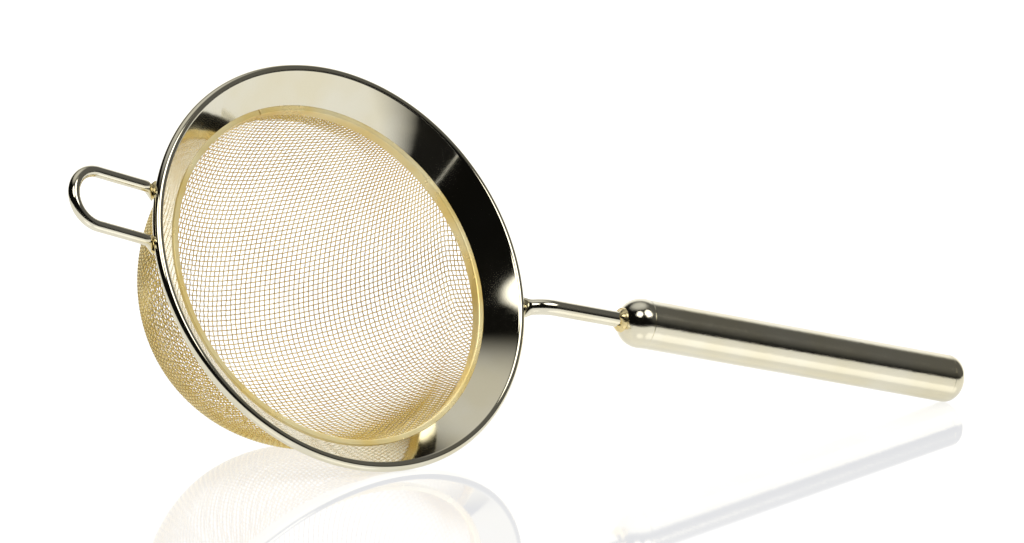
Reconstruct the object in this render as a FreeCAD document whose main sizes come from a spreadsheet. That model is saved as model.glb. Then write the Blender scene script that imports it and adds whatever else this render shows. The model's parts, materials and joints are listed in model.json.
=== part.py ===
import FreeCAD, Part
import math
import os
import Sketcher

# A fine mesh cocktail strainer. Every sub-part is drawn in use coordinates: the plane of the
# round mouth is XY, the bowl hangs below it towards -Z and the handle leaves towards +X.
# At the end they all get the one placement of a strainer lying on a table: curled rim, side of
# the bowl and end of the handle touch the table, which is the plane z = 0.

DIMENSIONS = (
    ("rim_radius", 45.0, "outside of the curled edge"),
    ("curl_radius", 1.1, "outside of the curl's own section"),
    ("sheet_thickness", 0.6, "rim sheet"),
    ("curl_slit", 0.25, "open slit along the underside of the curl"),
    ("flange_slope", 43.7, "flange against the mouth plane, degrees"),
    ("collar_depth", 7.2, "mouth plane to the lower edge of the collar"),
    ("ring_inner_radius", 36.5, "clear opening of the strainer"),
    ("ring_wall", 0.4, "retaining ring strip"),
    ("ring_lip_radius", 37.7, "edge of the ring's turned lip"),
    ("ring_top_depth", 4.4, "mouth plane to the top of the lip"),
    ("ring_bottom_depth", 6.8, "mouth plane to the lower edge of the ring"),
    ("seam_width", 0.2, "butt gap where the ring strip meets itself"),
    ("seam_direction", 116.0, "where that gap is, degrees round from the handle"),
    ("mesh_radius", 37.45, "outside of the cloth inside the collar"),
    ("mesh_thickness", 0.55, "two crossed wires"),
    ("skirt_depth", 13.0, "mouth plane to the end of the skirt under the collar"),
    ("bowl_radius", 36.8, "widest part of the bowl proper"),
    ("bowl_radius_depth", 7.6, "mouth plane to the middle of the side's meridian"),
    ("bowl_side_radius", 47.5, "meridian of the side of the bowl"),
    ("bowl_nose_radius", 20.0, "bottom of the bowl"),
    ("bowl_shift", 1.9, "bowl axis beside the mouth axis"),
    ("bowl_shift_direction", 107.0, "side that the bowl is shifted to, degrees"),
    ("loop_wire_radius", 1.2, "rest loop wire"),
    ("loop_half_width", 5.95, "middle of the loop to the middle of a leg"),
    ("loop_leg_length", 11.95, "straight part of a leg"),
    ("loop_tip_length", 2.6, "flattened end of a leg"),
    ("loop_tip_drop", 1.8, "how far the end sinks under the curl"),
    ("loop_tip_half_width", 1.9, "flattened end, across"),
    ("loop_tip_half_height", 0.75, "flattened end, thick"),
    ("loop_start", 46.2, "mouth axis to the start of the flattened ends"),
    ("loop_side_shift", 2.3, "loop sits a little off the centre line"),
    ("loop_level", -0.35, "height of the legs at the rim"),
    ("loop_rise", 6.4, "loop against the mouth plane, degrees"),
    ("rod_radius", 1.7, "neck rod"),
    ("rod_bend_radius", 9.0, "centre line of the bend near the rim"),
    ("rod_bend_angle", 27.9, "degrees"),
    ("rod_straight", 17.85, "handle tip to the corner of the bend"),
    ("rod_round_length", 3.4, "corner of the bend to the start of the tongue"),
    ("tongue_taper", 2.0, "round rod to flat tongue"),
    ("tongue_length", 3.2, "flat tongue under the rim"),
    ("tongue_half_width", 2.45, "tongue, across"),
    ("tongue_half_height", 0.8, "tongue, thick"),
    ("handle_start", 67.8, "mouth axis to the tip of the handle"),
    ("handle_level", 2.83, "tip of the handle above the mouth plane"),
    ("handle_rise", 4.1, "handle against the mouth plane, degrees"),
    ("cap_radius", 5.38, "front cap, a hair larger than the tube"),
    ("tube_radius", 5.3, "handle tube, outside"),
    ("tube_wall", 0.8, "handle tube"),
    ("tube_start", 6.2, "tip of the handle to the tube"),
    ("tube_length", 78.4, "handle tube"),
    ("spigot_length", 4.0, "both caps, inside the tube"),
    ("end_edge_radius", 3.3, "edge of the end cap"),
    ("end_crown_radius", 12.0, "face of the end cap"),
    ("end_land", 0.4, "straight band of the end cap"),
    ("rim_weld_reach", 43.2, "mouth axis to the weld of the rod under the rim"),
    ("rim_weld_level", -1.75, "that weld above the mouth plane"),
    ("rim_weld_tilt", 40.0, "that weld against the mouth plane, degrees"),
    ("rim_weld_half_length", 1.7, "along the rod"),
    ("rim_weld_half_width", 2.6, "across the rod"),
    ("rim_weld_half_height", 1.0, "thick"),
    ("cap_weld_radius", 2.7, "weld round the rod, where it meets the cap"),
    ("cap_weld_length", 0.9, "tip of the handle to the thin end of that weld"),
    ("loop_weld_out", 0.1, "middle of the curl to the welds of the loop"),
    ("loop_weld_level", -1.25, "those welds above the mouth plane"),
    ("loop_weld_tilt", -25.0, "those welds against the mouth plane, degrees"),
    ("loop_weld_half_length", 1.5, "along the loop's leg"),
    ("loop_weld_half_width", 2.2, "across the leg"),
    ("loop_weld_half_height", 0.9, "thick"),
    ("rest_yaw", 3.6796, "resting attitude, degrees"),
    ("rest_pitch", 14.739, "resting attitude, degrees"),
    ("rest_roll", 61.1096, "resting attitude, degrees"),
)

doc = FreeCAD.newDocument("fine_strainer")
dims = doc.addObject("Spreadsheet::Sheet", "Dims")
for row, (alias, size, note) in enumerate(DIMENSIONS, start=1):
    dims.set(f"A{row}", alias)
    dims.set(f"B{row}", str(size))
    dims.set(f"C{row}", note)
    dims.setAlias(f"B{row}", alias)
doc.recompute()


def bound(expression):
    """An expression written with <alias> for each value, made to point at the sheet."""
    return expression.replace("<", "Dims.").replace(">", "")


def size(expression):
    """What such an expression comes to."""
    found = dims.evalExpression(bound(expression))
    return float(getattr(found, "Value", found))


def moved(across=0.0, up=0.0, out=0.0):
    return FreeCAD.Placement(FreeCAD.Vector(across, up, out), FreeCAD.Rotation())


def new_body(label):
    body = doc.addObject("PartDesign::Body", label)
    body.Label = label
    return body


def new_sketch(body, name, role, offset=FreeCAD.Placement()):
    """A sketch on one of the body's own planes, or set off from it."""
    sketch = body.newObject("Sketcher::SketchObject", name)
    plane = next(f for f in body.Origin.OriginFeatures if f.Role == role)
    sketch.AttachmentSupport = [(plane, "")]
    sketch.MapMode = "FlatFace"
    sketch.AttachmentOffset = offset
    return sketch


def hold(sketch, geometry, vertex, across=None, up=None):
    """Fix a vertex by its distances from the sketch's origin, bound to the sheet."""
    for kind, expression in (("DistanceX", across), ("DistanceY", up)):
        if expression is not None:
            constraint = Sketcher.Constraint(kind, -1, 1, geometry, vertex, size(expression))
            number = sketch.addConstraint(constraint)
            sketch.setExpression(f"Constraints[{number}]", bound(expression))


def draw_piece(sketch, start, end, corner):
    """One line or arc of an outline. Returns its number and its vertices at start and end.
    Each corner is (across, up), and one that an arc ends at is
    (across, up, centre across, centre up, turn), where turn is 1 anticlockwise, -1 clockwise."""
    if len(corner) == 2:
        return sketch.addGeometry(Part.LineSegment(start, end)), 1, 2
    centre = FreeCAD.Vector(size(corner[2]), size(corner[3]), 0)
    circle = Part.Circle(centre, FreeCAD.Vector(0, 0, 1), (start - centre).Length)
    anticlockwise = corner[4] > 0
    ends = (start, end) if anticlockwise else (end, start)
    angles = [math.atan2(p.y - centre.y, p.x - centre.x) for p in ends]
    number = sketch.addGeometry(Part.ArcOfCircle(circle, *angles))
    return (number, 1, 2) if anticlockwise else (number, 2, 1)


def closed_outline(sketch, corners):
    """A loop of lines and arcs, held by the ends of its lines and the middles of its arcs."""
    spots = [FreeCAD.Vector(size(c[0]), size(c[1]), 0) for c in corners]
    pieces = []
    for index, corner in enumerate(corners):
        pieces.append(draw_piece(sketch, spots[index - 1], spots[index], corner))
        if len(corner) == 5:
            hold(sketch, pieces[-1][0], 3, corner[2], corner[3])
    for index, (number, _, end) in enumerate(pieces):
        following, start, _ = pieces[(index + 1) % len(pieces)]
        corner = corners[index]
        next_is_line = len(corners[(index + 1) % len(corners)]) == 2
        if len(corner) == 5 and not next_is_line:
            sketch.addConstraint(Sketcher.Constraint("Tangent", number, end, following, start))
            continue
        sketch.addConstraint(Sketcher.Constraint("Coincident", number, end, following, start))
        if len(corner) == 2:
            hold(sketch, number, end, corner[0], corner[1])
        elif abs(spots[index].y - size(corner[3])) > abs(spots[index].x - size(corner[2])):
            hold(sketch, number, end, corner[0], None)
        else:
            hold(sketch, number, end, None, corner[1])


def open_path(sketch, corners):
    """Lines and arcs in a row, each running smoothly into the next."""
    spots = [FreeCAD.Vector(size(c[0]), size(c[1]), 0) for c in corners]
    pieces = [draw_piece(sketch, spots[index], spots[index + 1], corner)
              for index, corner in enumerate(corners[1:])]
    hold(sketch, pieces[0][0], pieces[0][1], corners[0][0], corners[0][1])
    for index, (number, start, end) in enumerate(pieces):
        if index:
            before, _, last = pieces[index - 1]
            sketch.addConstraint(Sketcher.Constraint("Tangent", before, last, number, start))
        if len(corners[index + 1]) == 2 and index == 0:
            hold(sketch, number, end, corners[1][0], corners[1][1])
        elif len(corners[index + 1]) == 2:
            hold(sketch, number, end, corners[index + 1][0], None)
        else:
            hold(sketch, number, 3, None, corners[index + 1][3])
            hold(sketch, number, end, corners[index + 1][0], None)


def add_circle(sketch, radius, across="0", up="0"):
    centre = FreeCAD.Vector(size(across), size(up), 0)
    number = sketch.addGeometry(Part.Circle(centre, FreeCAD.Vector(0, 0, 1), size(radius)))
    hold(sketch, number, 3, across, up)
    named = sketch.addConstraint(Sketcher.Constraint("Radius", number, size(radius)))
    sketch.setExpression(f"Constraints[{named}]", bound(radius))


def add_flat_oval(sketch, half_width, half_height, across="0", up="0"):
    """An ellipse whose long axis runs across, held by its centre, its end and its top."""
    centre = FreeCAD.Vector(size(across), size(up), 0)
    end = centre + FreeCAD.Vector(size(half_width), 0, 0)
    top = centre + FreeCAD.Vector(0, size(half_height), 0)
    number = sketch.addGeometry(Part.Ellipse(end, top, centre))
    sketch.exposeInternalGeometry(number)
    hold(sketch, number, 3, across, up)
    long_axis = number + 1
    short_axis = number + 2
    sketch.addConstraint(Sketcher.Constraint("Horizontal", long_axis))
    for axis, half in ((long_axis, half_width), (short_axis, half_height)):
        named = sketch.addConstraint(Sketcher.Constraint("Distance", axis, 2 * size(half)))
        sketch.setExpression(f"Constraints[{named}]", bound(f"2 * ({half})"))


def turn_solid(body, sketch, axis, kind="PartDesign::Revolution"):
    feature = body.newObject(kind, f"{sketch.Name}_turned")
    feature.Profile = sketch
    feature.ReferenceAxis = (sketch, [axis])
    feature.Angle = 360
    return feature


def sweep_solid(body, section, path):
    pipe = body.newObject("PartDesign::AdditivePipe", f"{section.Name}_swept")
    pipe.Profile = section
    pipe.Spine = (path, [f"Edge{n + 1}" for n in range(path.GeometryCount)])
    pipe.Mode = "Frenet"
    return pipe


def loft_solid(body, sections, ruled=False):
    loft = body.newObject("PartDesign::AdditiveLoft", f"{sections[0].Name}_lofted")
    loft.Profile = sections[0]
    loft.Sections = sections[1:]
    loft.Ruled = ruled
    return loft


def make_rim_flange():
    """Pressed ring: a collar round the cloth, a conical flange and a curled outer edge."""
    body = new_body("rim_flange")
    curl_middle = "(<rim_radius> - <curl_radius>)"
    slope = "(<flange_slope> * 1 deg)"
    inside = "(<curl_radius> - <sheet_thickness>)"
    collar_outside = "(<mesh_radius> + <sheet_thickness>)"
    under_end = (f"{curl_middle} - {inside} * sin({slope})", f"{inside} * cos({slope})")
    section = new_sketch(body, "flange_section", "XZ_Plane")
    closed_outline(section, (
        ("<mesh_radius>", "-<collar_depth>"),
        (collar_outside, "-<collar_depth>"),
        (collar_outside, f"{under_end[1]} - ({under_end[0]} - {collar_outside}) * tan({slope})"),
        under_end,
        (f"{curl_middle} - <curl_radius> * sin({slope})", f"<curl_radius> * cos({slope})"),
        ("<ring_lip_radius>", "-<ring_top_depth>"),
        ("<ring_lip_radius>", "-<ring_top_depth> - <ring_wall>"),
        ("<mesh_radius>", "-<ring_top_depth> - <ring_wall>"),
    ))
    turn_solid(body, section, "V_Axis")
    curl = new_sketch(body, "curl_section", "XZ_Plane")
    add_circle(curl, "<curl_radius>", curl_middle, "0")
    turn_solid(body, curl, "V_Axis")
    hollow = new_sketch(body, "curl_hollow", "XZ_Plane")
    add_circle(hollow, inside, curl_middle, "0")
    turn_solid(body, hollow, "V_Axis", "PartDesign::Groove")
    slit = new_sketch(body, "curl_lip_slit", "XZ_Plane")
    closed_outline(slit, (
        (f"{curl_middle} - {inside}", "-<curl_radius>"),
        (f"{curl_middle} - {inside} + <curl_slit>", "-<curl_radius>"),
        (f"{curl_middle} - {inside} + <curl_slit>", "0"),
        (f"{curl_middle} - {inside}", "0"),
    ))
    turn_solid(body, slit, "V_Axis", "PartDesign::Groove")
    return body


def make_retaining_ring():
    """Strip bent into a hoop with a turned lip, its two ends butted at a visible seam."""
    body = new_body("mesh_retaining_ring")
    section = new_sketch(body, "ring_section", "XZ_Plane")
    wall_outside = "<ring_inner_radius> + <ring_wall>"
    closed_outline(section, (
        ("<ring_inner_radius>", "-<ring_top_depth>"),
        ("<ring_lip_radius>", "-<ring_top_depth>"),
        ("<ring_lip_radius>", "-<ring_top_depth> - <ring_wall>"),
        (wall_outside, "-<ring_top_depth> - <ring_wall>"),
        (wall_outside, "-<ring_bottom_depth>"),
        ("<ring_inner_radius>", "-<ring_bottom_depth>"),
    ))
    turn_solid(body, section, "V_Axis")
    turned = FreeCAD.Rotation(FreeCAD.Vector(0, 0, 1), size("<seam_direction>"))
    seam = new_sketch(body, "ring_seam", "XY_Plane", FreeCAD.Placement(FreeCAD.Vector(), turned))
    closed_outline(seam, (
        ("<ring_inner_radius> - 1", "-<seam_width> / 2"),
        ("<ring_lip_radius> + 1", "-<seam_width> / 2"),
        ("<ring_lip_radius> + 1", "<seam_width> / 2"),
        ("<ring_inner_radius> - 1", "<seam_width> / 2"),
    ))
    cut = body.newObject("PartDesign::Pocket", "ring_seam_cut")
    cut.Profile = seam
    cut.Type = "Length"
    cut.setExpression("Length", bound("<ring_bottom_depth> + 1"))
    return body


def make_mesh_bowl():
    """Woven bowl as a shell two wires thick. A skirt under the collar leads to the bowl proper,
    which is drawn a little off the mouth's axis: a long side arc and a rounder nose."""
    body = new_body("mesh_bowl")
    shift_x = "(<bowl_shift> * cos(<bowl_shift_direction> * 1 deg))"
    shift_y = "(<bowl_shift> * sin(<bowl_shift_direction> * 1 deg))"
    side_x = "(<bowl_radius> - <bowl_side_radius>)"
    gap = "(<bowl_side_radius> - <bowl_nose_radius>)"
    nose_z = f"(-<bowl_radius_depth> - sqrt({gap} * {gap} - {side_x} * {side_x}))"
    side_z = "(-<bowl_radius_depth>)"
    drop = "(<skirt_depth> - <bowl_radius_depth>)"
    inner_side = "(<bowl_side_radius> - <mesh_thickness>)"
    inner_mouth = "(<mesh_radius> - <mesh_thickness>)"
    top_outside = f"({side_x} + sqrt(<bowl_side_radius> * <bowl_side_radius> - {drop} * {drop}))"
    top_inside = f"({side_x} + sqrt({inner_side} * {inner_side} - {drop} * {drop}))"

    def meeting(radius):
        """Where an arc of this radius about the side's middle runs into the nose's arc."""
        return (f"{side_x} - {radius} * {side_x} / {gap}",
                f"{side_z} + {radius} * ({nose_z} - {side_z}) / {gap}")

    levels = [moved(out=-size(depth)) for depth in ("<collar_depth>", "<skirt_depth>")]
    for name, kind, mouth, top in (
        ("skirt_outside", "PartDesign::AdditiveLoft", "<mesh_radius>", top_outside),
        ("skirt_inside", "PartDesign::SubtractiveLoft", inner_mouth, top_inside),
    ):
        upper = new_sketch(body, f"{name}_upper", "XY_Plane", levels[0])
        add_circle(upper, mouth)
        lower = new_sketch(body, f"{name}_lower", "XY_Plane", levels[1])
        add_circle(lower, top, shift_x, shift_y)
        skirt = body.newObject(kind, name)
        skirt.Profile = upper
        skirt.Sections = [lower]
    beside = moved(across=size(shift_x), out=-size(shift_y))
    shell = new_sketch(body, "bowl_section", "XZ_Plane", beside)
    closed_outline(shell, (
        (top_outside, "-<skirt_depth>"),
        (*meeting("<bowl_side_radius>"), side_x, side_z, -1),
        ("0", f"{nose_z} - <bowl_nose_radius>", "0", nose_z, -1),
        ("0", f"{nose_z} - <bowl_nose_radius> + <mesh_thickness>"),
        (*meeting(inner_side), "0", nose_z, 1),
        (top_inside, "-<skirt_depth>", side_x, side_z, 1),
    ))
    turn_solid(body, shell, "V_Axis")
    hem = new_sketch(body, "hem_section", "XZ_Plane")
    closed_outline(hem, (
        (inner_mouth, "-<collar_depth>"),
        ("<mesh_radius>", "-<collar_depth>"),
        ("<mesh_radius>", "-<ring_top_depth> - <ring_wall>"),
        (inner_mouth, "-<ring_top_depth> - <ring_wall>"),
    ))
    turn_solid(body, hem, "V_Axis")
    return body


def make_rest_loop():
    """One wire bent into a U, its two ends pressed flat to lie under the curled rim."""
    body = new_body("rest_loop")
    half = "<loop_half_width>"
    wire = new_sketch(body, "loop_wire", "YZ_Plane")
    add_circle(wire, "<loop_wire_radius>", half, "0")
    path = new_sketch(body, "loop_path", "XY_Plane")
    open_path(path, (
        ("0", half),
        ("-<loop_leg_length>", half),
        ("-<loop_leg_length>", f"-{half}", "-<loop_leg_length>", "0", 1),
        ("0", f"-{half}"),
    ))
    sweep_solid(body, wire, path)
    for side, name in ((1, "left"), (-1, "right")):
        across = f"{side} * {half}"
        root = new_sketch(body, f"loop_{name}_root", "YZ_Plane")
        add_circle(root, "<loop_wire_radius>", across, "0")
        beyond = moved(out=size("<loop_tip_length>"))
        tip = new_sketch(body, f"loop_{name}_tip", "YZ_Plane", beyond)
        add_flat_oval(tip, "<loop_tip_half_width>", "<loop_tip_half_height>", across,
                      "-<loop_tip_drop>")
        loft_solid(body, [root, tip])
    return body


def make_neck_rod():
    """Round rod in the handle's own axes: straight, bent down, then pressed to a tongue."""
    body = new_body("neck_rod")
    turn = "(<rod_bend_angle> * 1 deg)"
    bend = "<rod_bend_radius>"
    corner = "<rod_straight>"
    reach = f"({bend} * tan({turn} / 2))"
    inner_end = moved(out=size("<tube_start> + <spigot_length>"))
    wire = new_sketch(body, "rod_wire", "YZ_Plane", inner_end)
    add_circle(wire, "<rod_radius>")
    path = new_sketch(body, "rod_path", "XZ_Plane")
    open_path(path, (
        ("<tube_start> + <spigot_length>", "0"),
        (f"-{corner} + {reach}", "0"),
        (f"-{corner} - {reach} * cos({turn})", f"-{reach} * sin({turn})",
         f"-{corner} + {reach}", f"-{bend}", 1),
        (f"-{corner} - <rod_round_length> * cos({turn})", f"-<rod_round_length> * sin({turn})"),
    ))
    sweep_solid(body, wire, path)
    stations = ("<rod_round_length>", "<rod_round_length> + <tongue_taper>",
                "<rod_round_length> + <tongue_taper> + <tongue_length>")
    angle = math.radians(size("<rod_bend_angle>"))
    sections = []
    for number, station in enumerate(stations):
        run = size(station)
        across = -size(corner) - run * math.cos(angle)
        up = -run * math.sin(angle)
        tilt = FreeCAD.Rotation(FreeCAD.Vector(1, 0, 0), -math.degrees(angle))
        place = FreeCAD.Placement(FreeCAD.Vector(0, up, across), tilt)
        section = new_sketch(body, f"tongue_{number}", "YZ_Plane", place)
        if number == 0:
            add_circle(section, "<rod_radius>")
        else:
            add_flat_oval(section, "<tongue_half_width>", "<tongue_half_height>")
        sections.append(section)
    loft_solid(body, sections, ruled=True)
    return body


def make_front_cap():
    """Round nose of the handle, bored for the rod, with a spigot inside the tube."""
    body = new_body("handle_front_cap")
    section = new_sketch(body, "front_cap_section", "XZ_Plane")
    bore = "<rod_radius>"
    cap = "<cap_radius>"
    spigot = "<tube_radius> - <tube_wall>"
    closed_outline(section, (
        (f"{cap} - sqrt({cap} * {cap} - {bore} * {bore})", bore),
        (cap, cap, cap, "0", -1),
        ("<tube_start>", cap),
        ("<tube_start>", spigot),
        ("<tube_start> + <spigot_length>", spigot),
        ("<tube_start> + <spigot_length>", bore),
    ))
    turn_solid(body, section, "H_Axis")
    return body


def make_handle_tube():
    body = new_body("handle_tube")
    section = new_sketch(body, "tube_section", "XZ_Plane")
    closed_outline(section, (
        ("<tube_start>", "<tube_radius> - <tube_wall>"),
        ("<tube_start>", "<tube_radius>"),
        ("<tube_start> + <tube_length>", "<tube_radius>"),
        ("<tube_start> + <tube_length>", "<tube_radius> - <tube_wall>"),
    ))
    turn_solid(body, section, "H_Axis")
    return body


def make_end_cap():
    """Far end of the handle: a rounded edge running into a nearly flat crown."""
    body = new_body("handle_end_cap")
    section = new_sketch(body, "end_cap_section", "XZ_Plane")
    face = "(<tube_start> + <tube_length>)"
    edge = "<end_edge_radius>"
    crown = "<end_crown_radius>"
    edge_across = f"({face} + <end_land>)"
    edge_up = f"(<tube_radius> - {edge})"
    apart = f"({crown} - {edge})"
    crown_across = f"({edge_across} - sqrt({apart} * {apart} - {edge_up} * {edge_up}))"
    spigot = "<tube_radius> - <tube_wall>"
    closed_outline(section, (
        (f"{face} - <spigot_length>", "0"),
        (f"{face} - <spigot_length>", spigot),
        (face, spigot),
        (face, "<tube_radius>"),
        (edge_across, "<tube_radius>"),
        (f"{crown_across} + {crown} * ({edge_across} - {crown_across}) / {apart}",
         f"{crown} * {edge_up} / {apart}", edge_across, edge_up, -1),
        (f"{crown_across} + {crown}", "0", crown_across, "0", -1),
    ))
    turn_solid(body, section, "H_Axis")
    return body


def make_cap_weld():
    """Ring of weld metal in the corner between the rod and the cap's round nose."""
    body = new_body("rod_cap_weld")
    section = new_sketch(body, "cap_weld_section", "XZ_Plane")
    bore = "<rod_radius>"
    cap = "<cap_radius>"
    outer = "<cap_weld_radius>"
    closed_outline(section, (
        ("-<cap_weld_length>", bore),
        ("-<cap_weld_length>", f"{bore} + ({outer} - {bore}) / 3"),
        (f"{cap} - sqrt({cap} * {cap} - {outer} * {outer})", outer),
        (f"{cap} - sqrt({cap} * {cap} - {bore} * {bore})", bore, cap, "0", 1),
    ))
    turn_solid(body, section, "H_Axis")
    return body


def weld_bead(label, family, centre, tilt, neighbours):
    """Weld metal takes the shape that its neighbours leave: a squashed ball cut by each."""
    ball = Part.makeSphere(1.0)
    stretch = FreeCAD.Matrix()
    stretch.scale(*(size(f"<{family}_half_{way}>") for way in ("length", "width", "height")))
    ball = ball.transformGeometry(stretch)
    ball.Placement = FreeCAD.Placement(centre, FreeCAD.Rotation(FreeCAD.Vector(0, 1, 0), tilt))
    bead = doc.addObject("Part::Feature", label)
    bead.Label = label
    left = ball.cut([n.Shape for n in neighbours])
    bead.Shape = max(left.Solids, key=lambda solid: solid.Volume)
    return bead


def place_in_use(handle_parts, loop):
    handle = FreeCAD.Placement(
        FreeCAD.Vector(size("<handle_start>"), 0, size("<handle_level>")),
        FreeCAD.Rotation(FreeCAD.Vector(0, 1, 0), -size("<handle_rise>")),
    )
    for part in handle_parts:
        part.Placement = handle
    loop.Placement = FreeCAD.Placement(
        FreeCAD.Vector(-size("<loop_start>"), size("<loop_side_shift>"), size("<loop_level>")),
        FreeCAD.Rotation(FreeCAD.Vector(0, 1, 0), size("<loop_rise>")),
    )


def make_rim_welds(rim, rod, loop):
    """Three welds under the curled edge: the rod's tongue and the two ends of the loop."""
    under_rim = FreeCAD.Vector(size("<rim_weld_reach>"), 0, size("<rim_weld_level>"))
    welds = [weld_bead("rod_rim_weld", "rim_weld", under_rim, size("<rim_weld_tilt>"), (rim, rod))]
    for side, name in ((1, "left"), (-1, "right")):
        across = size("<loop_side_shift>") + side * size("<loop_half_width>")
        reach = math.sqrt(size("<rim_radius> - <curl_radius>") ** 2 - across ** 2)
        centre = FreeCAD.Vector(-reach - size("<loop_weld_out>"), across, size("<loop_weld_level>"))
        welds.append(weld_bead(f"loop_{name}_weld", "loop_weld", centre,
                               size("<loop_weld_tilt>"), (rim, loop)))
    return welds


def rest_on_table(parts):
    """Turn every part into the resting attitude, then bring the box's bottom middle to zero."""
    lying = FreeCAD.Rotation(size("<rest_yaw>"), size("<rest_pitch>"), size("<rest_roll>"))
    for part in parts:
        part.Placement = FreeCAD.Placement(FreeCAD.Vector(), lying).multiply(part.Placement)
    box = Part.makeCompound([part.Shape for part in parts]).optimalBoundingBox(False, False)
    middle = FreeCAD.Vector((box.XMin + box.XMax) / 2, (box.YMin + box.YMax) / 2, box.ZMin)
    for part in parts:
        part.Placement = FreeCAD.Placement(-middle, FreeCAD.Rotation()).multiply(part.Placement)


def check_and_write(parts):
    for thing in doc.Objects:
        if "Invalid" in thing.State or "Error" in thing.State:
            raise RuntimeError(f"{thing.Name} failed: {thing.State}")
    os.makedirs("parts", exist_ok=True)
    for part in parts:
        if part.Shape.isNull() or not part.Shape.isValid():
            raise RuntimeError(f"{part.Label} has no valid shape")
        part.Shape.exportStep(f"parts/{part.Label}.step")
        print(part.Label, len(part.Shape.Solids), round(part.Shape.Volume, 1))


rim = make_rim_flange()
ring = make_retaining_ring()
bowl = make_mesh_bowl()
loop = make_rest_loop()
rod = make_neck_rod()
cap = make_front_cap()
tube = make_handle_tube()
end_cap = make_end_cap()
cap_weld = make_cap_weld()
doc.recompute()
place_in_use((rod, cap, tube, end_cap, cap_weld), loop)
sub_parts = [rim, ring, bowl, loop, rod, cap, tube, end_cap, cap_weld]
sub_parts += make_rim_welds(rim, rod, loop)
rest_on_table(sub_parts)
check_and_write(sub_parts)
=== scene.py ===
"""A fine mesh cocktail strainer of gold-plated steel lying on a glossy white table."""
import json
import math

import bmesh
import bpy
import numpy as np
from mathutils import Matrix, Vector, noise


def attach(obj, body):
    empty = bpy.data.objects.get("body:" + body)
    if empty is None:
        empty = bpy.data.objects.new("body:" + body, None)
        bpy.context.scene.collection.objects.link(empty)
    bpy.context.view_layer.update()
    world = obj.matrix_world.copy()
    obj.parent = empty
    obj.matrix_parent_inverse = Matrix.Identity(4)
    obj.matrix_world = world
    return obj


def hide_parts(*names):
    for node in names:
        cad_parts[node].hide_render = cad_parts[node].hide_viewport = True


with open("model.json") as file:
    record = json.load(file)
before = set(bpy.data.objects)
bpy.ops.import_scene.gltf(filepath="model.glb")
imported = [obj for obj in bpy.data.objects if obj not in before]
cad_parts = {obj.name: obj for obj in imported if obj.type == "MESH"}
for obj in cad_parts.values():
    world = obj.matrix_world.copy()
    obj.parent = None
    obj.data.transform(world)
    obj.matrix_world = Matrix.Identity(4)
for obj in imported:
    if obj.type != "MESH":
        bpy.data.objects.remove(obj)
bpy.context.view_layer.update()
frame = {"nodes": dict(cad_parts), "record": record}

MM = 0.001

# ---------------------------------------------------------------------------------------------
# The strainer's own axes, in use: the mouth's plane is XY, the bowl hangs towards -Z and the
# handle leaves towards +X. Shapes are drawn in millimetres in these axes, then laid in the frame.

mounts = {mount["name"]: mount for mount in frame["record"]["mounts"]}
mouth = Vector(mounts["rim_seat"]["pos_m"])
mouth_up = -Vector(mounts["rim_seat"]["axis"]).normalized()
handle_out = Vector(mounts["handle_grip"]["axis"]).normalized()
across = mouth_up.cross(handle_out).normalized()
along = across.cross(mouth_up)
handle_up = handle_out.cross(across)


def axes(x, y, z, origin):
    """Millimetres in these axes, to metres in the frame."""
    turn = Matrix((x, y, z)).transposed().to_4x4()
    return Matrix.Translation(origin) @ turn @ Matrix.Scale(MM, 4)


def reach(node, origin, direction):
    """How far a CAD node goes along a direction from a point, low and high, in mm."""
    points = frame["nodes"][node].data.vertices
    spread = [(point.co - origin).dot(direction) / MM for point in points]
    return min(spread), max(spread)


def radii(node, origin, direction):
    """Smallest and largest distance of a CAD node's points from an axis, in mm."""
    arms = [point.co - origin for point in frame["nodes"][node].data.vertices]
    found = [(arm - direction * arm.dot(direction)).length / MM for arm in arms]
    return min(found), max(found)


ROD_RADIUS = 1.7

handle_axis = Vector(mounts["handle_grip"]["pos_m"])
cap_radius = radii("handle_front_cap", handle_axis, handle_out)[1]
bore_depth = cap_radius - math.sqrt(cap_radius ** 2 - ROD_RADIUS ** 2)
cap_start = reach("handle_front_cap", handle_axis, handle_out)[0]
handle_tip = handle_axis + handle_out * (cap_start - bore_depth) * MM
in_use = axes(along, across, mouth_up, mouth)
on_handle = axes(handle_out, across, handle_up, handle_tip)

# ---------------------------------------------------------------------------------------------
# Mesh helpers


def arc(centre, radius, start, end, count):
    """Points along an arc, in degrees, both ends included."""
    steps = [math.radians(start + (end - start) * n / count) for n in range(count + 1)]
    return [(centre[0] + radius * math.cos(a), centre[1] + radius * math.sin(a)) for a in steps]


def add_piece(name, points, faces, material, nodes, place, sharp=40.0):
    """Make a mesh object from points in mm, lay it in the frame and hide the CAD nodes it stands for."""
    mesh = bpy.data.meshes.new(name)
    mesh.from_pydata(points, [], faces)
    mesh.transform(place)
    mesh.validate()
    shell = bmesh.new()
    shell.from_mesh(mesh)
    bmesh.ops.recalc_face_normals(shell, faces=shell.faces)
    shell.to_mesh(mesh)
    shell.free()
    mesh.shade_smooth()
    mesh.set_sharp_from_angle(angle=math.radians(sharp))
    mesh.materials.append(material)
    piece = bpy.data.objects.new(name, mesh)
    bpy.context.scene.collection.objects.link(piece)
    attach(piece, "root")
    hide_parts(*nodes)
    return piece


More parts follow.
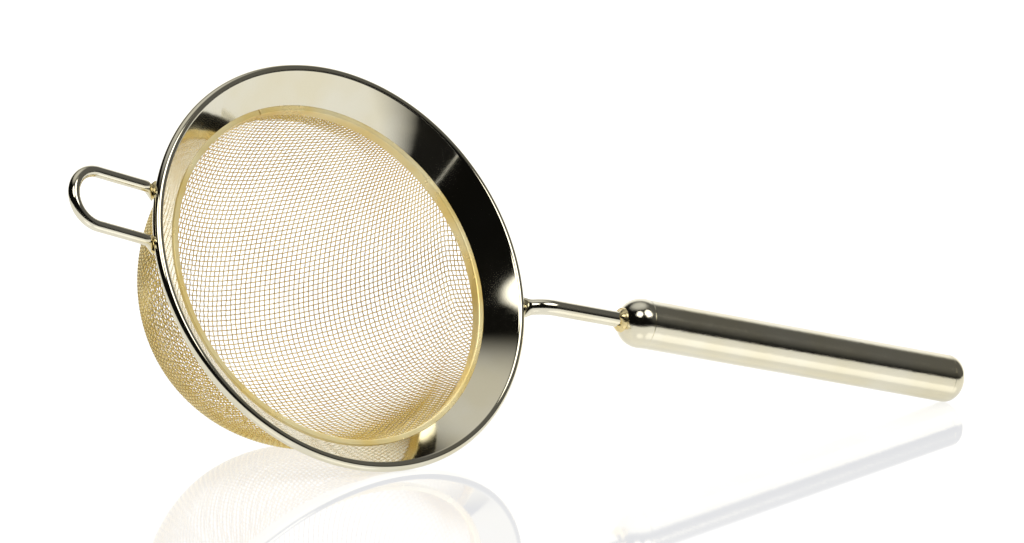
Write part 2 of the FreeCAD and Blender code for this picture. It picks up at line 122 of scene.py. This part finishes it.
def lathe(profile, steps, axis="z", start=0.0, turn=360.0):
    """Turn a closed profile of (radius, height) round an axis. Less than 360 degrees gets ends."""
    whole = turn >= 360.0
    columns = steps if whole else steps + 1
    points = []
    for column in range(columns):
        angle = math.radians(start + turn * column / steps)
        for radius, height in profile:
            x, y = radius * math.cos(angle), radius * math.sin(angle)
            points.append((x, y, height) if axis == "z" else (height, x, y))
    rows = len(profile)
    faces = []
    for column in range(steps):
        here = column * rows
        there = (column + 1) % columns * rows
        for row in range(rows):
            after = (row + 1) % rows
            faces.append((here + row, there + row, there + after, here + after))
    if not whole:
        faces.append(tuple(range(rows)))
        faces.append(tuple(range(steps * rows, columns * rows)))
    return points, faces


def sweep(stations, sides):
    """Skin a row of stations (centre, side, up, half width, half height) with closed ends."""
    points = []
    for centre, side, up, half_width, half_height in stations:
        for n in range(sides):
            angle = 2 * math.pi * n / sides
            points.append(centre + side * (half_width * math.cos(angle))
                          + up * (half_height * math.sin(angle)))
    faces = []
    for ring in range(len(stations) - 1):
        for n in range(sides):
            after = (n + 1) % sides
            here, there = ring * sides, (ring + 1) * sides
            faces.append((here + n, here + after, there + after, there + n))
    faces.append(tuple(range(sides)))
    faces.append(tuple(range(len(points) - sides, len(points))))
    return points, faces


def smooth(value, low, high):
    """0 below low, 1 above high, easing between."""
    share = min(max((value - low) / (high - low), 0.0), 1.0)
    return share * share * (3 - 2 * share)


# ---------------------------------------------------------------------------------------------
# Materials

CHAMPAGNE = (0.91, 0.86, 0.68)
CHAMPAGNE_DEEP = (0.89, 0.82, 0.60)
YELLOW = (0.98, 0.85, 0.48)
YELLOW_DEEP = (0.93, 0.71, 0.26)
WARM = (0.97, 0.80, 0.38)
WARM_DEEP = (0.88, 0.67, 0.20)
WELD = (0.92, 0.78, 0.44)
WELD_DEEP = (0.86, 0.66, 0.26)

MICRON = 1e-6
DRIFT_SCALE = 90.0
DRIFT_RANGE = (0.35, 0.65)
WEAR_SCALE = 160.0
WEAR_DETAIL = 4.0
WEAR_ROUGHNESS = 0.6
WEAR_RANGE = (0.3, 0.7)

# Strip and wire are drawn dull enough to keep their colour against the white table.
RING_METAL = 0.6
CLOTH_METAL = 0.85


def new_material(name):
    material = bpy.data.materials.new(name)
    material.use_nodes = True
    tree = material.node_tree
    return material, tree, tree.nodes["Principled BSDF"]


def noise_on(tree, scale, detail=2.0, roughness=0.5):
    """Noise fixed to the object; scale is features per metre."""
    place = tree.nodes.new("ShaderNodeTexCoord")
    cloud = tree.nodes.new("ShaderNodeTexNoise")
    cloud.inputs["Scale"].default_value = scale
    cloud.inputs["Detail"].default_value = detail
    cloud.inputs["Roughness"].default_value = roughness
    tree.links.new(place.outputs["Object"], cloud.inputs["Vector"])
    return cloud.outputs["Fac"]


def mapped(tree, value, low, high, to_low, to_high):
    change = tree.nodes.new("ShaderNodeMapRange")
    ends = {"From Min": low, "From Max": high, "To Min": to_low, "To Max": to_high}
    for name, number in ends.items():
        change.inputs[name].default_value = number
    tree.links.new(value, change.inputs["Value"])
    return change.outputs["Result"]


def bumped(tree, shader, layers):
    """Stack bumps of (height, distance in metres) under the shader's normal."""
    below = None
    for height, distance in layers:
        bump = tree.nodes.new("ShaderNodeBump")
        bump.inputs["Distance"].default_value = distance
        tree.links.new(height, bump.inputs["Height"])
        if below is not None:
            tree.links.new(below, bump.inputs["Normal"])
        below = bump.outputs["Normal"]
    tree.links.new(below, shader.inputs["Normal"])


def mottled(tree, shader, tint, deeper, scale):
    """Plating whose colour drifts between two golds; scale is patches per metre."""
    blend = tree.nodes.new("ShaderNodeMix")
    blend.data_type = "RGBA"
    drift = mapped(tree, noise_on(tree, scale), *DRIFT_RANGE, 0.0, 1.0)
    tree.links.new(drift, blend.inputs["Factor"])
    blend.inputs["A"].default_value = (*tint, 1)
    blend.inputs["B"].default_value = (*deeper, 1)
    tree.links.new(blend.outputs["Result"], shader.inputs["Base Color"])


def gold(name, tint, deeper, roughness, peel, grain, metallic=1.0):
    """Plated steel: drifting tint, roughness between two values, orange peel and fine grain.
    Peel and grain are bumps, as (features per metre, depth in microns)."""
    material, tree, shader = new_material(name)
    shader.inputs["Metallic"].default_value = metallic
    mottled(tree, shader, tint, deeper, DRIFT_SCALE)
    wear = noise_on(tree, WEAR_SCALE, WEAR_DETAIL, WEAR_ROUGHNESS)
    tree.links.new(mapped(tree, wear, *WEAR_RANGE, *roughness), shader.inputs["Roughness"])
    bumped(tree, shader, (
        (noise_on(tree, peel[0], 1.0), peel[1] * MICRON),
        (noise_on(tree, grain[0], 3.0, 0.7), grain[1] * MICRON),
    ))
    return material


flange_gold = gold("flange_gold", CHAMPAGNE, CHAMPAGNE_DEEP, (0.035, 0.075), (150, 10), (2600, 0.6))
handle_gold = gold("handle_gold", CHAMPAGNE, CHAMPAGNE_DEEP, (0.07, 0.14), (700, 20), (3400, 18))
wire_gold = gold("wire_gold", CHAMPAGNE, CHAMPAGNE_DEEP, (0.06, 0.12), (420, 8), (3200, 1))
ring_gold = gold("ring_gold", YELLOW, YELLOW_DEEP, (0.18, 0.30), (500, 6), (3000, 2), RING_METAL)
cloth_gold = gold("cloth_gold", WARM, WARM_DEEP, (0.16, 0.28), (900, 4), (6000, 2), CLOTH_METAL)
weld_gold = gold("weld_gold", WELD, WELD_DEEP, (0.12, 0.26), (900, 30), (3600, 6))

# ---------------------------------------------------------------------------------------------
# Rim flange and the ring that clamps the cloth

RIM_STEPS = 360
SHEET = 0.6
CURL_RADIUS = 1.1
CURL_END = -150.0
CORNER = 0.5
CORNER_CUT = 0.12
FLANGE_SLOPE = 43.7
COLLAR_DEPTH = 7.2
RING_WALL = 0.4
RING_BOTTOM = 6.8
RING_BEND = 0.32
RING_EDGE = 0.06
RING_FOOT = 0.1
SEAM_DIRECTION = 116.0
SEAM_WIDTH = 0.2

rim_radius = radii("rim_flange", mouth, mouth_up)[1]
collar_radius = radii("rim_flange", mouth, mouth_up)[0]
curl_middle = rim_radius - CURL_RADIUS
ring_inner, ring_lip = radii("mesh_retaining_ring", mouth, mouth_up)
ring_top = reach("mesh_retaining_ring", mouth, mouth_up)[1]


def add_rim():
    """Collar, conical flange and the edge curled outwards and under, one sheet all the way."""
    inside = CURL_RADIUS - SHEET
    lean = math.radians(FLANGE_SLOPE)
    upper = 90 + FLANGE_SLOPE
    under_end = (curl_middle - inside * math.sin(lean), inside * math.cos(lean))
    outside = collar_radius + SHEET
    corner = (outside, under_end[1] - (under_end[0] - outside) * math.tan(lean))
    profile = [(collar_radius, -COLLAR_DEPTH), (outside, -COLLAR_DEPTH)]
    profile += [(outside, corner[1] - CORNER), (corner[0] + CORNER_CUT, corner[1] - CORNER_CUT)]
    profile += [(corner[0] + CORNER, corner[1] + CORNER * math.tan(lean))]
    profile += arc((curl_middle, 0), inside, upper, CURL_END, 24)
    profile += arc((curl_middle, 0), CURL_RADIUS, CURL_END, upper, 40)
    profile += [(ring_lip, ring_top), (ring_lip, ring_top - RING_WALL)]
    profile += [(collar_radius, ring_top - RING_WALL)]
    points, faces = lathe(profile, RIM_STEPS)
    add_piece("rim_sheet", points, faces, flange_gold, ["rim_flange"], in_use)


def add_ring():
    """Strip hoop with a rounded lip and a butt seam."""
    wall = ring_inner + RING_WALL
    profile = [(ring_lip, ring_top - RING_EDGE), (ring_lip - RING_EDGE, ring_top)]
    profile += arc((ring_inner + RING_BEND, ring_top - RING_BEND), RING_BEND, 90, 180, 8)
    profile += [(ring_inner, -RING_BOTTOM + RING_FOOT), (ring_inner + RING_FOOT, -RING_BOTTOM)]
    profile += [(wall, -RING_BOTTOM), (wall, ring_top - RING_WALL), (ring_lip, ring_top - RING_WALL)]
    opening = math.degrees(SEAM_WIDTH / ring_inner)
    start = SEAM_DIRECTION + opening / 2
    points, faces = lathe(profile, RIM_STEPS, "z", start, 360 - opening)
    add_piece("ring_strip", points, faces, ring_gold, ["mesh_retaining_ring"], in_use)


# ---------------------------------------------------------------------------------------------
# Woven cloth: two families of wires over a net whose cells keep their sides on the bowl

WIRE_RADIUS = 0.115
PITCH = 1.08
CRIMP = 0.125
WIRE_SIDES = 5
SUBSTEPS = 3
WEAVE_DIRECTION = 11.0
CLOTH_HALF = 0.275
SKIRT_DEPTH = 13.0
BOWL_RADIUS = 36.8
BOWL_LEVEL = 7.6
SIDE_RADIUS = 47.5
NOSE_RADIUS = 20.0
BOWL_SHIFT = 1.9
SHIFT_DIRECTION = 107.0
HEM_DEPTH = 4.95


def cloth_meridian():
    """Middle of the cloth from the bottom of the bowl to the hem, as (length along, r, z)."""
    side_x = BOWL_RADIUS - SIDE_RADIUS
    nose_z = -BOWL_LEVEL - math.sqrt((SIDE_RADIUS - NOSE_RADIUS) ** 2 - side_x ** 2)
    meeting = math.degrees(math.atan2(nose_z + BOWL_LEVEL, -side_x))
    side = SIDE_RADIUS - CLOTH_HALF
    top = -math.degrees(math.asin((SKIRT_DEPTH - BOWL_LEVEL) / side))
    line = arc((0, nose_z), NOSE_RADIUS - CLOTH_HALF, -90, meeting, 300)
    line += arc((side_x, -BOWL_LEVEL), side, meeting, top, 600)[1:]
    line += [(collar_radius - CLOTH_HALF, -COLLAR_DEPTH), (collar_radius - CLOTH_HALF, -HEM_DEPTH)]
    line = np.array(line)
    lengths = np.concatenate([[0.0], np.cumsum(np.hypot(*np.diff(line, axis=0).T))])
    return lengths, line[:, 0], line[:, 1]


meridian = cloth_meridian()


def on_cloth(flat):
    """The bowl's surface: distance from the flat origin is length along the meridian."""
    run = np.hypot(flat[..., 0], flat[..., 1])
    turn = np.arctan2(flat[..., 1], flat[..., 0])
    lengths, line_r, line_z = meridian
    r = np.interp(run, lengths, line_r)
    z = np.interp(run, lengths, line_z) + np.maximum(run - lengths[-1], 0)
    shifted = np.clip((-z - COLLAR_DEPTH) / (SKIRT_DEPTH - COLLAR_DEPTH), 0, 1) * BOWL_SHIFT
    way = math.radians(SHIFT_DIRECTION)
    return np.stack([r * np.cos(turn) + shifted * math.cos(way),
                     r * np.sin(turn) + shifted * math.sin(way), z], -1)


def slopes(flat):
    """The two tangents of the surface at each point."""
    tiny = 1e-3
    here = on_cloth(flat)
    return [(on_cloth(flat + np.array(step)) - here) / tiny for step in ((tiny, 0), (0, tiny))]


def next_crossings(one, two, shared):
    """Crossings one pitch from both of two neighbours, on the side away from the shared one.
    Past the hem, where no wire is drawn, the flat step stands as it is."""
    flat = one + two - shared
    spot = flat
    place_one, place_two = on_cloth(one), on_cloth(two)
    for _ in range(10):
        here = on_cloth(spot)
        tangents = slopes(spot)
        arms = (here - place_one, here - place_two)
        (a, b), (c, d) = [[2 * (arm * tangent).sum(-1) for tangent in tangents] for arm in arms]
        cross = a * d - b * c
        cross = np.where(np.abs(cross) < 1e-9, 1e-9, cross)
        miss_one, miss_two = [(arm ** 2).sum(-1) - PITCH ** 2 for arm in arms]
        step = np.stack([d * miss_one - b * miss_two, a * miss_two - c * miss_one], -1) / cross[..., None]
        size = np.linalg.norm(step, axis=-1, keepdims=True)
        spot = spot - step * np.minimum(1, PITCH / 2 / np.maximum(size, 1e-9))
    nearer = np.minimum(np.hypot(*one.T), np.hypot(*two.T))
    return np.where((nearer > meridian[0][-1])[:, None], flat, spot)


def weave_net():
    """Crossings of the cloth: index (i, j) counts wires from the middle of the bowl."""
    count = int(meridian[0][-1] / PITCH) + 4
    net = np.full((2 * count + 1, 2 * count + 1, 2), np.nan)
    for quarter in range(4):
        turn = math.radians(WEAVE_DIRECTION + 90 * quarter)
        east = np.array((math.cos(turn), math.sin(turn)))
        north = np.array((-math.sin(turn), math.cos(turn)))
        part = np.full((count + 1, count + 1, 2), np.nan)
        for n in range(count + 1):
            part[n, 0] = east * n * PITCH
            part[0, n] = north * n * PITCH
        for diagonal in range(2, 2 * count + 1):
            i = np.arange(max(1, diagonal - count), min(diagonal - 1, count) + 1)
            j = diagonal - i
            part[i, j] = next_crossings(part[i - 1, j], part[i, j - 1], part[i - 1, j - 1])
        for i in range(count + 1):
            for j in range(count + 1):
                a, b = ((i, j), (-j, i), (-i, -j), (j, -i))[quarter]
                net[count + a, count + b] = part[i, j]
    return net


def wire_path(flat, phase):
    """Centre line of one wire through its crossings, over and under, with the surface normals."""
    places = on_cloth(flat)
    tangents = slopes(flat)
    normals = np.cross(tangents[0], tangents[1])
    normals /= np.linalg.norm(normals, axis=-1, keepdims=True)
    share = np.arange((len(flat) - 1) * SUBSTEPS + 1) / SUBSTEPS
    numbers = np.arange(len(flat))
    centre = np.stack([np.interp(share, numbers, places[:, k]) for k in range(3)], -1)
    up = np.stack([np.interp(share, numbers, normals[:, k]) for k in range(3)], -1)
    up /= np.linalg.norm(up, axis=-1, keepdims=True)
    return centre + up * (CRIMP * np.cos(math.pi * (share + phase)))[:, None], up


def wire_skin(centre, up, first):
    """Tube of a few sides round a centre line. Faces count their points from first."""
    ahead = np.gradient(centre, axis=0)
    ahead /= np.linalg.norm(ahead, axis=-1, keepdims=True)
    side = np.cross(ahead, up)
    side /= np.linalg.norm(side, axis=-1, keepdims=True)
    above = np.cross(side, ahead)
    angles = 2 * math.pi * np.arange(WIRE_SIDES) / WIRE_SIDES
    ring = side[:, None] * np.cos(angles)[None, :, None]
    ring = ring + above[:, None] * np.sin(angles)[None, :, None]
    points = (centre[:, None] + WIRE_RADIUS * ring).reshape(-1, 3)
    rows = np.arange(len(centre) - 1)[:, None] * WIRE_SIDES + first
    n = np.arange(WIRE_SIDES)[None, :]
    after = (n + 1) % WIRE_SIDES
    quads = np.stack([rows + n, rows + after, rows + WIRE_SIDES + after, rows + WIRE_SIDES + n], -1)
    last = first + len(points) - WIRE_SIDES
    ends = [tuple(first + k for k in range(WIRE_SIDES)), tuple(last + k for k in range(WIRE_SIDES))]
    return points, [tuple(quad) for quad in quads.reshape(-1, 4).tolist()] + ends


def add_cloth():
    """Four pieces: each family of wires in two halves."""
    net = weave_net()
    inside = np.hypot(net[..., 0], net[..., 1]) <= meridian[0][-1]
    middle = len(net) // 2
    for family in ("warp", "weft"):
        if family == "weft":
            net = net.transpose(1, 0, 2)
            inside = inside.T
        for half, wires in (("near", range(middle)), ("far", range(middle, len(net)))):
            points, faces, first = [], [], 0
            for wire in wires:
                held = np.flatnonzero(inside[:, wire])
                if len(held) < 3:
                    continue
                held = np.arange(held[0], held[-1] + 1)
                centre, up = wire_path(net[held, wire], held[0] + wire + (family == "weft"))
                skin, quads = wire_skin(centre, up, first)
                points.append(skin)
                faces += quads
                first += len(skin)
            add_piece(f"cloth_{family}_{half}", np.concatenate(points).tolist(), faces, cloth_gold,
                      ["mesh_bowl"], in_use, 80.0)


# ---------------------------------------------------------------------------------------------
# Rest loop, neck rod, handle

LOOP_WIRE = 1.2
LOOP_HALF = 5.95
LOOP_RISE = 6.4
LOOP_START = 46.2
LOOP_SHIFT = 2.3
LOOP_LEVEL = -0.35
LOOP_LEG = 11.95
LOOP_TIP = 2.6
LOOP_TIP_DROP = 1.8
LOOP_TIP_WIDTH = 1.9
LOOP_TIP_HEIGHT = 0.75

lean = math.radians(LOOP_RISE)
loop_back = (along * math.cos(lean) - mouth_up * math.sin(lean)).normalized()
loop_up = loop_back.cross(across)
loop_origin = in_use @ Vector((-LOOP_START, LOOP_SHIFT, LOOP_LEVEL))
on_loop = axes(loop_back, across, loop_up, loop_origin)


def add_loop():
    """One wire: a flattened end, a leg, the bend, the other leg and its flattened end."""
    up = Vector((0, 0, 1))
    side = Vector((0, 1, 0))
    stations = []
    tip_steps = 12
    leg_steps = 10
    bend_steps = 72
    for n in range(tip_steps):
        share = n / tip_steps
        flat = 1 - smooth(share, 0.0, 1.0)
        centre = Vector((LOOP_TIP * (1 - share), LOOP_HALF, -LOOP_TIP_DROP * (1 - share)))
        stations.append((centre, side, up,
                         LOOP_WIRE + (LOOP_TIP_WIDTH - LOOP_WIRE) * flat,
                         LOOP_WIRE + (LOOP_TIP_HEIGHT - LOOP_WIRE) * flat))
    for n in range(leg_steps):
        centre = Vector((-LOOP_LEG * n / leg_steps, LOOP_HALF, 0))
        stations.append((centre, side, up, LOOP_WIRE, LOOP_WIRE))
    for n in range(bend_steps // 2):
        angle = math.pi * n / bend_steps
        out = Vector((-math.sin(angle), math.cos(angle), 0))
        centre = Vector((-LOOP_LEG, 0, 0)) + out * LOOP_HALF
        stations.append((centre, out, up, LOOP_WIRE, LOOP_WIRE))
    half = len(stations)
    middle = Vector((-LOOP_LEG - LOOP_HALF, 0, 0))
    stations.append((middle, Vector((-1, 0, 0)), up, LOOP_WIRE, LOOP_WIRE))
    for n in reversed(range(half)):
        centre, out, above, half_width, half_height = stations[n]
        mirrored = Vector((centre.x, -centre.y, centre.z))
        stations.append((mirrored, Vector((out.x, -out.y, 0)), above, half_width, half_height))
    points, faces = sweep(stations, 40)
    add_piece("loop_wire", points, faces, wire_gold, ["rest_loop"], on_loop, 60.0)


ROD_BEND = 9.0
ROD_TURN = 27.9
ROD_STRAIGHT = 17.85
ROD_ROUND = 3.4
TONGUE_TAPER = 2.0
TONGUE_EASE = 0.4
TONGUE = 3.2
TONGUE_WIDTH = 2.45
TONGUE_HEIGHT = 0.8
SPIGOT = 4.0
TUBE_WALL = 0.8
HANDLE_STEPS = 128
HANDLE_SEAM = 0.12
END_EDGE = 3.3
END_CROWN = 12.0
END_LAND = 0.4
END_SEAM = 0.05
END_POLE = 0.02

tube_radius = radii("handle_tube", handle_axis, handle_out)[1]
tube_start, tube_end = reach("handle_tube", handle_tip, handle_out)


def add_rod():
    """Straight round rod, bent down near the rim and pressed to a tongue that runs under it."""
    up = Vector((0, 0, 1))
    side = Vector((0, 1, 0))
    turn = math.radians(ROD_TURN)
    tangent = ROD_BEND * math.tan(turn / 2)
    stations = []
    straight_steps = 12
    bend_steps = 24
    tongue_steps = 30
    start = tube_start + SPIGOT
    for n in range(straight_steps):
        x = start + (-ROD_STRAIGHT + tangent - start) * n / straight_steps
        stations.append((Vector((x, 0, 0)), side, up, ROD_RADIUS, ROD_RADIUS))
    for n in range(bend_steps):
        angle = turn * n / bend_steps
        centre = Vector((-ROD_STRAIGHT + tangent - ROD_BEND * math.sin(angle), 0,
                         -ROD_BEND * (1 - math.cos(angle))))
        lifted = Vector((-math.sin(angle), 0, math.cos(angle)))
        stations.append((centre, side, lifted, ROD_RADIUS, ROD_RADIUS))
    ahead = Vector((-math.cos(turn), 0, -math.sin(turn)))
    above = Vector((-math.sin(turn), 0, math.cos(turn)))
    corner = Vector((-ROD_STRAIGHT, 0, 0))
    last = ROD_ROUND + TONGUE_TAPER + TONGUE
    for n in range(tongue_steps + 1):
        run = tangent + (last - tangent) * n / tongue_steps
        flat = smooth(run, ROD_ROUND - TONGUE_EASE, ROD_ROUND + TONGUE_TAPER)
        stations.append((corner + ahead * run, side, above,
                         ROD_RADIUS + (TONGUE_WIDTH - ROD_RADIUS) * flat,
                         ROD_RADIUS + (TONGUE_HEIGHT - ROD_RADIUS) * flat))
    points, faces = sweep(stations, 40)
    add_piece("rod_wire", points, faces, wire_gold, ["neck_rod"], on_handle, 60.0)


def add_handle():
    """Front cap and tube, each its own turned piece."""
    wall = tube_radius - TUBE_WALL
    bore = 180 - math.degrees(math.asin(ROD_RADIUS / cap_radius))
    front = [(radius, x) for x, radius in arc((cap_radius, 0), cap_radius, bore, 90, 24)]
    front += [(cap_radius, tube_start - HANDLE_SEAM), (cap_radius - HANDLE_SEAM, tube_start)]
    front += [(wall, tube_start), (wall, tube_start + SPIGOT), (ROD_RADIUS, tube_start + SPIGOT)]
    points, faces = lathe(front, HANDLE_STEPS, "x")
    add_piece("handle_nose", points, faces, handle_gold, ["handle_front_cap"],
              on_handle)
    far_seam = HANDLE_SEAM * 0.4
    body = [(wall, tube_start), (tube_radius - HANDLE_SEAM, tube_start)]
    body += [(tube_radius, tube_start + HANDLE_SEAM)]
    body += [(tube_radius, tube_start + (tube_end - tube_start) * n / 24) for n in range(1, 24)]
    body += [(tube_radius, tube_end - far_seam), (tube_radius - far_seam, tube_end), (wall, tube_end)]
    points, faces = lathe(body, HANDLE_STEPS, "x")
    add_piece("handle_body", points, faces, handle_gold, ["handle_tube"], on_handle)


def add_end_cap():
    """Rounded plug: the edge's arc runs into the crown's."""
    wall = tube_radius - TUBE_WALL
    edge_x = tube_end + END_LAND
    edge_r = tube_radius - END_EDGE
    crown_x = edge_x - math.sqrt((END_CROWN - END_EDGE) ** 2 - edge_r ** 2)
    meeting = math.degrees(math.atan2(edge_r, edge_x - crown_x))
    outline = arc((edge_x, edge_r), END_EDGE, 90, meeting, 20)
    outline += arc((crown_x, 0), END_CROWN, meeting, 1.5, 14)[1:]
    profile = [(END_POLE, tube_end - SPIGOT), (wall, tube_end - SPIGOT), (wall, tube_end)]
    profile += [(tube_radius - END_SEAM, tube_end), (tube_radius, tube_end + END_SEAM)]
    profile += [(r, x) for x, r in outline] + [(END_POLE, crown_x + END_CROWN)]
    points, faces = lathe(profile, HANDLE_STEPS, "x")
    add_piece("handle_end", points, faces, handle_gold, ["handle_end_cap"], on_handle)


CAP_WELD_RADIUS = 2.7
CAP_WELD_LENGTH = 0.9
CAP_WELD_SWELL = 0.14
CAP_WELD_LIP = 0.05
CAP_WELD_WAVES = 1.6


def add_cap_weld():
    """Bead of weld metal between the rod and the front cap, uneven round its thin end."""
    foot = cap_radius - math.sqrt(cap_radius ** 2 - CAP_WELD_RADIUS ** 2)
    thin = ROD_RADIUS + CAP_WELD_LIP
    profile = [(ROD_RADIUS, bore_depth), (ROD_RADIUS, -CAP_WELD_LENGTH)]
    for n in range(13):
        share = n / 12
        bulge = CAP_WELD_SWELL * math.sin(math.pi * share)
        radius = thin + (CAP_WELD_RADIUS - thin) * share + bulge
        profile.append((radius, -CAP_WELD_LENGTH + (foot + CAP_WELD_LENGTH) * share - bulge * 0.4))
    points, faces = lathe(profile, 96, "x")
    uneven = []
    for x, y, z in points:
        angle = math.atan2(z, y)
        spot = Vector((math.cos(angle) * CAP_WELD_WAVES, math.sin(angle) * CAP_WELD_WAVES, 0.0))
        wave = min(0.8 + 0.35 * noise.noise(spot), 1.0)
        uneven.append((foot + (x - foot) * wave if x < 0 else x, y, z))
    add_piece("rod_weld_bead", uneven, faces, weld_gold, ["rod_cap_weld"], on_handle, 60.0)


add_rim()
add_ring()
add_cloth()
add_loop()
add_rod()
add_handle()
add_end_cap()
add_cap_weld()
for node in ("rod_rim_weld", "loop_left_weld", "loop_right_weld"):
    frame["nodes"][node].data.materials.clear()
    frame["nodes"][node].data.materials.append(weld_gold)

# ---------------------------------------------------------------------------------------------
# Camera, table and light

CAMERA_SPOT = (-456.9, -372.2, 706.0)
CAMERA_RIGHT = (0.8283, -0.0522, 0.5579)
CAMERA_DOWN = (0.1851, -0.9142, -0.3604)
CAMERA_LENS = 156.54

TABLE_EDGE = (-0.25, -0.14)
TABLE_GLOW = 0.62
TABLE_GLOSS = 2.1

TOP_LIGHT_SPOT = (0, 0.2, 2.2)
TOP_LIGHT_SIZE = 6.0
TOP_LIGHT_POWER = 290.0

# Soft lights as (azimuth, elevation, full within, gone beyond, strength), angles in degrees
BACKDROP = (30, 0, 30, 55, 1.0)
OVERHEAD = (0, 78, 6, 34, 0.55)
ROOM = (100, 40, 20, 60, 0.1)
WINDOW_ONE = (152, 48, 14, 16, 2.2)
WINDOW_TWO = (-148, 52, 12, 14, 2.2)
ROOM_DARK = 0.004


def in_use_direction(numbers):
    return along * numbers[0] + across * numbers[1] + mouth_up * numbers[2]


def add_camera():
    """Placed by the strainer's own axes, so that it follows the strainer."""
    right = in_use_direction(CAMERA_RIGHT).normalized()
    down = in_use_direction(CAMERA_DOWN)
    down = (down - right * down.dot(right)).normalized()
    turn = Matrix((right, -down, -right.cross(down))).transposed().to_4x4()
    data = bpy.data.cameras.new("camera")
    data.lens = CAMERA_LENS
    data.sensor_width = 36.0
    data.clip_start = 0.01
    camera = bpy.data.objects.new("camera", data)
    camera.matrix_world = Matrix.Translation(in_use @ Vector(CAMERA_SPOT)) @ turn
    bpy.context.scene.collection.objects.link(camera)
    bpy.context.scene.camera = camera


def add_sheet(name, half, low_y, high_y, level, material):
    """Flat rectangle on the stage."""
    corners = [(-half, low_y, level), (half, low_y, level)]
    corners += [(half, high_y, level), (-half, high_y, level)]
    mesh = bpy.data.meshes.new(name)
    mesh.from_pydata(corners, [], [(0, 1, 2, 3)])
    mesh.materials.append(material)
    sheet = bpy.data.objects.new(name, mesh)
    bpy.context.scene.collection.objects.link(sheet)
    return sheet


def add_table():
    """Glossy white sheet lit from behind."""
    material, _, shader = new_material("table_white")
    shader.inputs["Base Color"].default_value = (0.12, 0.12, 0.125, 1)
    shader.inputs["Roughness"].default_value = 0.04
    shader.inputs["IOR"].default_value = TABLE_GLOSS
    shader.inputs["Emission Color"].default_value = (0.97, 0.98, 1.0, 1)
    shader.inputs["Emission Strength"].default_value = TABLE_GLOW
    add_sheet("table", 6.0, -6.0, 6.0, 0.0, material)


def add_table_edge():
    """What the metal sees past the front of the table: a dark room, fading in over the edge."""
    material, tree, shader = new_material("room_dark")
    shader.inputs["Base Color"].default_value = (ROOM_DARK, ROOM_DARK, ROOM_DARK, 1)
    shader.inputs["Specular IOR Level"].default_value = 0.0
    shader.inputs["Roughness"].default_value = 1.0
    place = tree.nodes.new("ShaderNodeTexCoord")
    split = tree.nodes.new("ShaderNodeSeparateXYZ")
    tree.links.new(place.outputs["Object"], split.inputs[0])
    fade = mapped(tree, split.outputs["Y"], *TABLE_EDGE, 1.0, 0.0)
    tree.links.new(fade, shader.inputs["Alpha"])
    edge = add_sheet("table_edge", 3.0, -3.0, TABLE_EDGE[1], 0.001, material)
    edge.visible_camera = False
    edge.visible_shadow = False
    edge.visible_diffuse = False


def aim(azimuth, elevation):
    """Unit vector: azimuth 0 is +Y, 90 is +X, in degrees."""
    a, e = math.radians(azimuth), math.radians(elevation)
    return Vector((math.sin(a) * math.cos(e), math.cos(a) * math.cos(e), math.sin(e)))


def joined(tree, kind, one, two):
    """Math node between two outputs, the second of which may be a number."""
    node = tree.nodes.new("ShaderNodeMath")
    node.operation = kind
    tree.links.new(one, node.inputs[0])
    if isinstance(two, float):
        node.inputs[1].default_value = two
    else:
        tree.links.new(two, node.inputs[1])
    return node.outputs["Value"]


def soft_light(tree, direction, azimuth, elevation, inner, outer, strength):
    """Round light in the sky: full inside one angle from its middle, nothing outside another."""
    dot = tree.nodes.new("ShaderNodeVectorMath")
    dot.operation = "DOT_PRODUCT"
    tree.links.new(direction, dot.inputs[0])
    dot.inputs[1].default_value = aim(azimuth, elevation)
    fade = tree.nodes.new("ShaderNodeMapRange")
    fade.interpolation_type = "SMOOTHSTEP"
    fade.inputs["From Min"].default_value = math.cos(math.radians(outer))
    fade.inputs["From Max"].default_value = math.cos(math.radians(inner))
    fade.inputs["To Max"].default_value = strength
    tree.links.new(dot.outputs["Value"], fade.inputs["Value"])
    return fade.outputs["Result"]


def add_sky():
    """Dark studio with a white backdrop behind the strainer, soft light overhead and two windows.
    The camera itself sees white all round."""
    world = bpy.data.worlds.new("studio")
    bpy.context.scene.world = world
    world.use_nodes = True
    tree = world.node_tree
    direction = tree.nodes.new("ShaderNodeTexCoord").outputs["Generated"]
    total = soft_light(tree, direction, *BACKDROP)
    for light in (OVERHEAD, ROOM, WINDOW_ONE, WINDOW_TWO):
        total = joined(tree, "ADD", total, soft_light(tree, direction, *light))
    total = joined(tree, "ADD", total, ROOM_DARK)
    seen = tree.nodes.new("ShaderNodeLightPath").outputs["Is Camera Ray"]
    background = tree.nodes["Background"]
    tree.links.new(joined(tree, "MAXIMUM", total, seen), background.inputs["Strength"])
    background.inputs["Color"].default_value = (1, 1, 1, 1)


def add_top_light():
    """Wide soft light on the table, which the metal doesn't mirror."""
    data = bpy.data.lights.new("top_light", "AREA")
    data.shape = "RECTANGLE"
    data.size = TOP_LIGHT_SIZE
    data.size_y = TOP_LIGHT_SIZE
    data.energy = TOP_LIGHT_POWER
    light = bpy.data.objects.new("top_light", data)
    light.location = TOP_LIGHT_SPOT
    light.visible_glossy = False
    light.visible_camera = False
    bpy.context.scene.collection.objects.link(light)


add_camera()
add_table()
add_table_edge()
add_sky()
add_top_light()
bpy.context.scene.view_settings.view_transform = "Standard"
